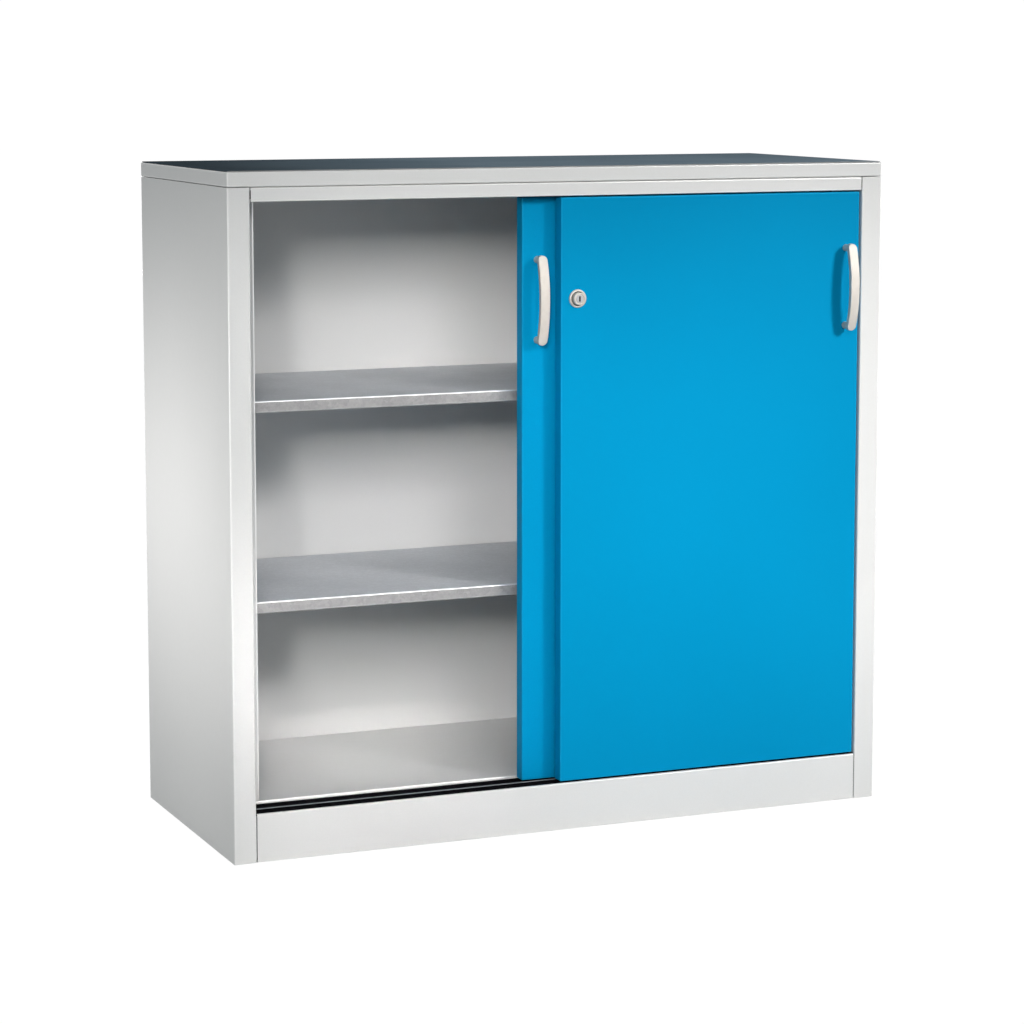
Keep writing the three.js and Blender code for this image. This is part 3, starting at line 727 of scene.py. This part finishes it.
def tray(name, lip_return):
    """A tray of sheet, open below, with returns round its foot."""
    opening = inset_box(name, z_axis, low_side, sheet, (lip_return, lip_return, 0))
    return pressed(name, [opening])


def shade_strip(name, rail, side):
    """A thin dark strip behind the open joint at one end of a front rail: painted shade in the
    joint.
    """
    low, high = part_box(rail)
    end = low.x if side == low_side else high.x
    near, far = sorted((end + side * joint_reach, end - side * joint_lap))
    front = low.y + sheet + joint_room
    form = box_form(
        (near, front, low.z + joint_lap),
        (far, front + joint_strip_thickness, high.z - joint_lap),
    )
    return added(piece_of(form, name), "cabinet", "black_rubber")


# Doors

def door_pan(name, rollers, bores):
    """A door's pan, open at the back, with notches at its foot for the rollers."""
    low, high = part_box(name)
    openings = [inset_box(name, y_axis, high_side, sheet, (door_lip, 0, 0))]
    for roller in rollers:
        roller_low, roller_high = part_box(roller)
        openings.append((
            [roller_low.x - roller_room, roller_low.y - roller_room, low.z - sheet],
            [roller_high.x + roller_room, high.y + sheet, low.z + sheet],
        ))
    return pressed(name, openings, bores)


def handle_leg_form(centre, foot, under):
    """A handle's round leg, from the door's face to the underside of the bar."""
    profile = [(0, foot), (handle_leg, foot)]
    profile += [(handle_leg + leg_bead, foot - leg_bead_middle), (handle_leg, foot - leg_bead_end)]
    for step in range(leg_flare_steps + 1):
        share = step / leg_flare_steps
        flare = (handle_flare - handle_leg) * share ** leg_flare_power
        y = foot - leg_flare_start - (foot - leg_flare_start - under) * share
        profile.append((handle_leg + flare, y))
    profile += [(handle_flare, under - leg_lap), (0, under - leg_lap)]
    return turned(profile, centre, lock_sides // 2)


def bow_handle(name):
    """A flat bar with round ends, bowed outwards, on two legs that flare into it."""
    low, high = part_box(name)
    middle = (low + high) / 2
    half = (high.z - low.z) / 2
    rise = high.y - low.y - handle_end_reach
    end_radius = handle_width / 2
    straight = half - end_radius
    end_steps = handle_stations // 2

    def front_at(z):
        return low.y + rise * abs(z / half) ** bow_power

    right = []
    for step in range(handle_stations + 1):
        right.append((end_radius, -straight + 2 * straight * step / handle_stations))
    for step in range(1, end_steps):
        angle = math.pi * step / end_steps
        right.append((end_radius * math.cos(angle), straight + end_radius * math.sin(angle)))
    outline = right + [(-x, -z) for x, z in right]
    form = bmesh.new()

    def ring(depth):
        return [
            form.verts.new((middle.x + x, front_at(z) + depth, middle.z + z))
            for x, z in outline
        ]

    front, back = ring(0), ring(handle_bar)
    count = len(outline)
    for i in range(count):
        j = (i + 1) % count
        form.faces.new((front[i], front[j], back[j], back[i]))

    def strips(verts):
        """Faces across the bar, between points at the same height on its two sides."""
        by_height = {}
        for vert, (x, z) in zip(verts, outline):
            by_height.setdefault(round(z, height_decimals), []).append((x, vert))
        rows = [
            [vert for x, vert in sorted(by_height[z], key=lambda pair: pair[0])]
            for z in sorted(by_height)
        ]
        for lower, upper in zip(rows, rows[1:]):
            corners = lower + upper[::-1]
            if len(corners) > 2:
                form.faces.new(corners)

    strips(front)
    strips(back)
    bmesh.ops.recalc_face_normals(form, faces=form.faces)
    piece = piece_of(form, name + "_finished")
    bevelled(piece, handle_edge, handle_edge_steps, rim_angle)

    whole = bmesh.new()
    whole.from_mesh(piece.data)
    for z in (-straight, straight):
        centre = Vector((middle.x, 0, middle.z + z))
        leg = handle_leg_form(centre, high.y, front_at(z) + handle_bar)
        mesh = bpy.data.meshes.new("leg")
        leg.to_mesh(mesh)
        leg.free()
        whole.from_mesh(mesh)
        bpy.data.meshes.remove(mesh)
    whole.to_mesh(piece.data)
    whole.free()
    return stand_for(smooth_folds(piece), name)


# Lock

def lock_rosette(centre):
    """Domed rosette with a recess round the cylinder, and the barrel behind it."""
    top = -rosette_height
    recess_floor = top + rosette_recess
    barrel_floor = lock_barrel_back - lock_barrel_floor
    pin_hole = pin_radius + pin_room
    rim_middle = (rosette_radius - rosette_rim, top + rosette_rim)
    profile = [(rosette_radius, -rosette_gap)]
    profile += arc(rim_middle, rosette_rim, 0, -90, rosette_rim_steps)
    profile += [
        (rosette_recess_radius + recess_edge, top), (rosette_recess_radius, top + recess_edge),
        (rosette_recess_radius, recess_floor), (lock_bore_radius, recess_floor),
        (lock_bore_radius, barrel_floor), (pin_hole, barrel_floor),
        (pin_hole, lock_barrel_back), (lock_barrel_radius, lock_barrel_back),
        (lock_barrel_radius, -rosette_gap),
    ]
    piece = piece_of(turned(profile, centre, lock_sides), "lock_housing_finished")
    return stand_for(smooth_folds(piece), "lock_housing")


def lock_recess_shade(centre):
    """A dark ring at the bottom of the rosette's recess: painted shade in the gap round the
    cylinder.
    """
    front = rosette_recess - rosette_height - shade_ring_thickness
    back = rosette_recess - rosette_height
    inner, outer = lock_bore_radius + shade_ring_room, rosette_recess_radius - shade_ring_room
    profile = [(inner, front), (outer, front), (outer, back), (inner, back)]
    ring = piece_of(turned(profile, centre, lock_sides), "lock_recess_shade")
    return added(ring, node_body["lock_housing"], "black_rubber")


def push_cylinder(centre):
    """The cylinder with a rounded edge and a shallow dish round its plug, and the pin behind."""
    low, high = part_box("lock_cylinder")
    front = low.y - centre.y
    pin_end = high.y - centre.y
    shoulder = front + cylinder_length
    dish_floor = front + cylinder_dish
    bore_end = front + plug_bore_depth
    edge_middle = (cylinder_radius - cylinder_edge, front + cylinder_edge)
    profile = [
        (0, pin_end), (pin_radius - pin_edge, pin_end), (pin_radius, pin_end - pin_edge),
        (pin_radius, shoulder), (cylinder_radius, shoulder),
    ]
    profile += arc(edge_middle, cylinder_edge, 0, -90, cylinder_edge_steps)
    profile += [
        (cylinder_dish_radius + dish_slope, front), (cylinder_dish_radius, dish_floor),
        (plug_bore_radius, dish_floor), (plug_bore_radius, bore_end), (0, bore_end),
    ]
    piece = piece_of(turned(profile, centre, lock_sides), "lock_cylinder_finished")
    return stand_for(smooth_folds(piece), "lock_cylinder")


def keyway_shade(plug_low, plug_high):
    """The dark inside of the keyway, just behind the plug's face."""
    middle = (plug_low + plug_high) / 2
    form = box_form(
        (
            middle.x - keyway_width / 2, plug_low.y + keyway_room,
            middle.z - keyway_height / 2,
        ),
        (
            middle.x + keyway_width / 2, plug_low.y + keyway_depth,
            middle.z + keyway_height / 2,
        ),
    )
    return added(piece_of(form, "keyway_shade"), node_body["lock_plug"], "black_rubber")


# Back rivets

def rivet_row_nodes():
    """Rivet heads set in one row from start to end, about a pitch apart."""
    tree = bpy.data.node_groups.new("Rivet row", "GeometryNodeTree")
    face = tree.interface
    face.new_socket("Geometry", in_out="OUTPUT", socket_type="NodeSocketGeometry")
    sockets = {
        "Start": "NodeSocketVector", "End": "NodeSocketVector", "Pitch": "NodeSocketFloat",
        "Radius": "NodeSocketFloat", "Height": "NodeSocketFloat",
        "Material": "NodeSocketMaterial",
    }
    for label, kind in sockets.items():
        face.new_socket(label, in_out="INPUT", socket_type=kind)
    given = node(tree, "NodeGroupInput").outputs
    run = node(
        tree, "ShaderNodeVectorMath", {0: given["End"], 1: given["Start"]},
        operation="SUBTRACT",
    ).outputs["Vector"]
    length = node(tree, "ShaderNodeVectorMath", {0: run}, operation="LENGTH").outputs["Value"]
    spaces = maths(tree, "ROUND", maths(tree, "DIVIDE", length, given["Pitch"]))
    heads = plus(tree, spaces, 1.0)
    line = node(
        tree, "GeometryNodeMeshLine",
        {"Count": heads, "Start Location": given["Start"], "Offset": given["End"]},
        mode="END_POINTS",
    )
    head = node(
        tree, "GeometryNodeMeshUVSphere",
        {"Segments": rivet_sides, "Rings": rivet_rings, "Radius": 1.0},
    )
    size = node(
        tree, "ShaderNodeCombineXYZ",
        {"X": given["Radius"], "Y": given["Height"], "Z": given["Radius"]},
    ).outputs["Vector"]
    shaped = node(
        tree, "GeometryNodeTransform", {"Geometry": head.outputs["Mesh"], "Scale": size},
    )
    placed = node(
        tree, "GeometryNodeInstanceOnPoints",
        {"Points": line.outputs["Mesh"], "Instance": shaped.outputs["Geometry"]},
    )
    real = node(
        tree, "GeometryNodeRealizeInstances", {"Geometry": placed.outputs["Instances"]},
    )
    painted = node(
        tree, "GeometryNodeSetMaterial",
        {"Geometry": real.outputs["Geometry"], "Material": given["Material"]},
    )
    end = node(tree, "NodeGroupOutput")
    tree.links.new(painted.outputs["Geometry"], end.inputs["Geometry"])
    return tree


def rivet_rows(name, body, slot, low, high, y):
    """Rivet heads along the four edges of the back panel."""
    tree = rivet_row_nodes()
    left, right = low.x + rivet_from_sides, high.x - rivet_from_sides
    bottom, top = low.z + rivet_from_ends, high.z - rivet_from_ends
    corners = [(left, bottom), (right, bottom), (right, top), (left, top)]
    all_rows = bmesh.new()
    for (x0, z0), (x1, z1) in zip(corners, corners[1:] + corners[:1]):
        blank = bpy.data.objects.new("rivet_row", bpy.data.meshes.new("rivet_row"))
        bpy.context.scene.collection.objects.link(blank)
        modifier = blank.modifiers.new("Rivets", "NODES")
        modifier.node_group = tree
        values = {
            "Start": (x0, y, z0), "End": (x1, y, z1), "Pitch": rivet_pitch,
            "Radius": rivet_radius, "Height": rivet_height, "Material": finishes[slot],
        }
        for item in tree.interface.items_tree:
            if item.in_out == "INPUT":
                modifier[item.identifier] = values[item.name]
        baked(blank)
        all_rows.from_mesh(blank.data)
        bpy.data.objects.remove(blank)
    bmesh.ops.remove_doubles(all_rows, verts=all_rows.verts, dist=merge_distance)
    piece = piece_of(all_rows, name)
    piece.data.shade_smooth()
    return added(piece, body, slot)


# The cabinet
side_panel("left_side_panel")
side_panel("right_side_panel")
folded("back_panel")
folded("ceiling_panel")
# Painted highlights along the floor panel's top and the upper front rail's foot
painted_highlight_along(folded("floor_panel"), "floor_panel", high_side)
painted_highlight_along(folded("upper_front_rail"), "upper_front_rail", low_side)
folded("plinth")
# Dark strips paint the shade in the rails' end joints
for name in ("plinth", "upper_front_rail"):
    for end, side in (("left", low_side), ("right", high_side)):
        shade_strip(f"{name}_{end}_strip", name, side)
lower_track("lower_track")
folded("upper_track", track_edge)
for side in ("left", "right"):
    for row in ("front", "back"):
        folded(f"{row}_{side}_upright", upright_edge, segments=1)
        for level in ("lower", "upper"):
            folded(f"{level}_{row}_{side}_clip", small_edge)
tray("top_cover", cover_return)
# Painted highlights along the shelves' top front edges
for shelf in ("lower_shelf", "upper_shelf"):
    painted_highlight_along(tray(shelf, shelf_return), shelf, high_side, full_highlight)
top_covering("top_covering_sheet")
for side in ("left", "right"):
    for end in ("upper", "lower"):
        folded(f"{side}_{end}_buffer", soft_edge, segments=3)
folded("rear_door_stop", stop_edge, segments=3)

back_low, back_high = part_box("back_panel")
rivet_rows("back_rivets", "cabinet", "bright_steel", back_low, back_high, back_high.y)

# The doors, each with its handle, rollers and guides
plug_low, plug_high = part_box("lock_plug")
door_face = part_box("front_door_pan")[0].y
lock_centre = Vector(((plug_low.x + plug_high.x) / 2, door_face, (plug_low.z + plug_high.z) / 2))
lock_bore = [(lock_centre, lock_barrel_radius + lock_hole_room)]
for door in ("front", "rear"):
    door_pan(
        f"{door}_door_pan", [f"{door}_door_left_roller", f"{door}_door_right_roller"],
        lock_bore if door == "front" else [],
    )
    folded(f"{door}_door_stiffener")
    bow_handle(f"{door}_door_handle")
    for end in ("upper", "lower"):
        folded(f"{door}_handle_{end}_screw", small_edge)
    for end in ("left", "right"):
        folded(f"{door}_door_{end}_roller", small_edge)
        folded(f"{door}_door_{end}_axle", fine_edge)
        folded(f"{door}_door_{end}_bracket", bracket_edge)
        folded(f"{door}_door_{end}_guide", soft_edge)

# The lock
lock_rosette(lock_centre)
lock_recess_shade(lock_centre)
push_cylinder(lock_centre)
folded("lock_plug", fine_edge)
keyway_shade(plug_low, plug_high)
folded("lock_nut", small_edge)


# Studio

def seen_white(tree):
    """1 for rays from the camera, from gloss and through glass, 0 for light on the object."""
    path = node(tree, "ShaderNodeLightPath").outputs
    mirrored = maths(tree, "MAXIMUM", path["Is Glossy Ray"], path["Is Transmission Ray"])
    return maths(tree, "MAXIMUM", path["Is Camera Ray"], mirrored)


def studio_floor():
    """A pale floor that keeps the shadow and shows white to the camera."""
    material = bpy.data.materials.new("Studio floor")
    material.use_nodes = True
    tree = material.node_tree
    shader = tree.nodes["Principled BSDF"]
    shader.inputs["Base Color"].default_value = (floor_grey, floor_grey, floor_grey, 1)
    shader.inputs["Roughness"].default_value = floor_roughness
    shader.inputs["Specular IOR Level"].default_value = 0.0
    glow = node(tree, "ShaderNodeEmission", {"Color": (1, 1, 1, 1), "Strength": floor_glow})
    whitened = node(
        tree, "ShaderNodeMixShader", {"Fac": times(tree, seen_white(tree), floor_white)},
    )
    tree.links.new(shader.outputs["BSDF"], whitened.inputs[1])
    tree.links.new(glow.outputs["Emission"], whitened.inputs[2])
    tree.links.new(whitened.outputs["Shader"], tree.nodes["Material Output"].inputs["Surface"])
    form = bmesh.new()
    bmesh.ops.create_grid(form, x_segments=1, y_segments=1, size=floor_reach)
    floor = piece_of(form, "studio_floor")
    floor.data.materials.append(material)


def studio_world():
    """Soft light from all round, white to the camera and in reflections."""
    world = bpy.data.worlds.new("Studio")
    world.use_nodes = True
    tree = world.node_tree
    white = seen_white(tree)
    ground = tree.nodes["Background"]
    tree.links.new(
        shade_between(tree, world_tint, (1, 1, 1), white), ground.inputs["Color"],
    )
    tree.links.new(
        spread(tree, white, world_light, world_white, from_low=0, from_high=1),
        ground.inputs["Strength"],
    )
    bpy.context.scene.world = world


def soft_lamp(name, place, aim, width, height, power, beam):
    """A soft panel of light. Its beam is in degrees, and its power in watts."""
    light = bpy.data.lights.new(name, "AREA")
    light.shape = "RECTANGLE"
    light.spread = math.radians(beam)
    light.color = lamp_tint
    light.size = width
    light.size_y = height
    light.energy = power
    lamp = bpy.data.objects.new(name, light)
    lamp.location = place
    lamp.visible_camera = False
    lamp.rotation_euler = (Vector(aim) - Vector(place)).to_track_quat("-Z", "Y").to_euler()
    bpy.context.scene.collection.objects.link(lamp)


def photograph_camera():
    """The photograph's view: from the left, and from a little above the cabinet's top."""
    low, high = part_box("top_cover")
    middle = (low + high) / 2
    camera = bpy.data.objects.new("Camera", bpy.data.cameras.new("Camera"))
    camera.data.lens = camera_lens
    camera.data.sensor_width = camera_sensor
    camera.data.shift_y = camera_shift
    camera.data.clip_end = camera_sees_to
    camera.location = (middle.x - camera_left, middle.y - camera_front, camera_height)
    camera.rotation_euler = (math.pi / 2 - camera_tilt, 0, -camera_turn)
    bpy.context.scene.collection.objects.link(camera)
    bpy.context.scene.camera = camera


studio_floor()
studio_world()
soft_lamp(
    "High front lamp", place=(-0.6, -4.4, 2.6), aim=(-0.1, -0.2, 0.48),
    width=1.2, height=0.8, power=2.75, beam=40,
)
soft_lamp(
    "Left front lamp", place=(-2.3, -4.2, 2.5), aim=(-0.15, -0.1, 0.48),
    width=1.0, height=0.7, power=1.6, beam=30,
)
soft_lamp(
    "Opening lamp", place=(-2.3, -4.2, 1.9), aim=(-0.12, 0.1, 0.58),
    width=0.7, height=0.6, power=0.95, beam=16,
)
soft_lamp(
    "Upper shelf lamp", place=(-2.3, -4.3, 1.75), aim=(-0.10, 0.2, 0.80),
    width=0.4, height=0.3, power=0.13, beam=6,
)
soft_lamp(
    "Lower shelf lamp", place=(-2.4, -4.3, 1.5), aim=(-0.22, 0.2, 0.22),
    width=0.4, height=0.3, power=0.08, beam=7,
)
soft_lamp(
    "Floor lamp", place=(-2.0, -4.2, 3.0), aim=(-0.25, 0.05, 0.086),
    width=0.3, height=0.2, power=0.25, beam=6,
)
soft_lamp(
    "Foot lamp", place=(0.6, -4.8, 1.0), aim=(-0.56, -0.22, 0.19),
    width=0.2, height=0.7, power=0.17, beam=6,
)
soft_lamp(
    "Right foot lamp", place=(1.8, -4.8, 0.8), aim=(0.585, -0.22, 0.2),
    width=0.2, height=0.5, power=0.06, beam=5,
)
soft_lamp(
    "High right lamp", place=(2.4, -4.0, 2.6), aim=(0.45, -0.2, 0.62),
    width=0.8, height=0.8, power=3.35, beam=20,
)
soft_lamp(
    "Left softbox", place=(-3.4, 0.35, 0.56), aim=(0, 0.1, 0.56),
    width=0.8, height=0.3, power=1.2, beam=23,
)
soft_lamp(
    "Right softbox", place=(3.6, 0.4, 0.8), aim=(0, 0.1, 0.6),
    width=1.2, height=0.8, power=2.4, beam=45,
)
soft_lamp(
    "Back lamp", place=(0.8, 4.8, 0.9), aim=(0, 0.2, 0.6),
    width=1.4, height=0.8, power=9.0, beam=60,
)
photograph_camera()
bpy.context.scene.view_settings.view_transform = "Standard"
